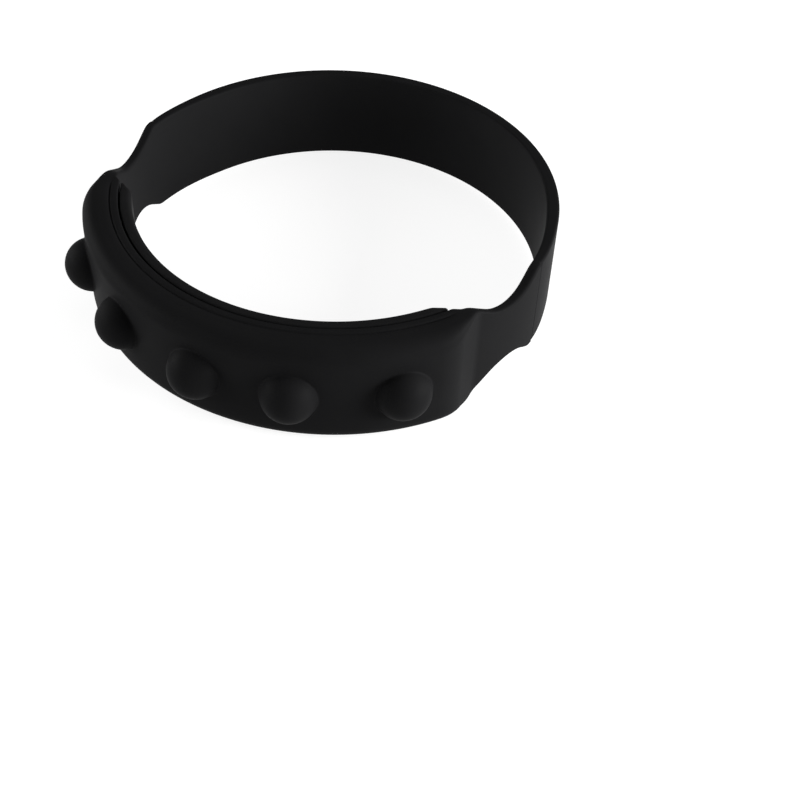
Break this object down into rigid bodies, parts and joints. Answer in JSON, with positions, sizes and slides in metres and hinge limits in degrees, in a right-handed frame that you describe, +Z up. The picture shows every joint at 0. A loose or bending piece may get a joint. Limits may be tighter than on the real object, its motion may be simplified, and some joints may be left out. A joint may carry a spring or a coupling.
{
  "type": "silicone wristband",
  "caption": "Closed moulded wristband with a plain strap, two narrow necks, a thick rounded housing with a row of domes, and a curved inner plate.",
  "frame": {"origin": "on the floor under the middle of the band's outer size, with the band lying flat", "axes": "+X to the right along the row of domes, +Y from the domes towards the plain strap at the back, +Z up along the axis of the loop"},
  "size_m": [0.0708, 0.0773, 0.0169],
  "materials": {
    "silicone": "matte satin black silicone",
    "plate": "finely grained matte black"
  },
  "bodies": {
    "root": {"band": "silicone", "inner_plate": "plate"}
  },
  "joints": []
}
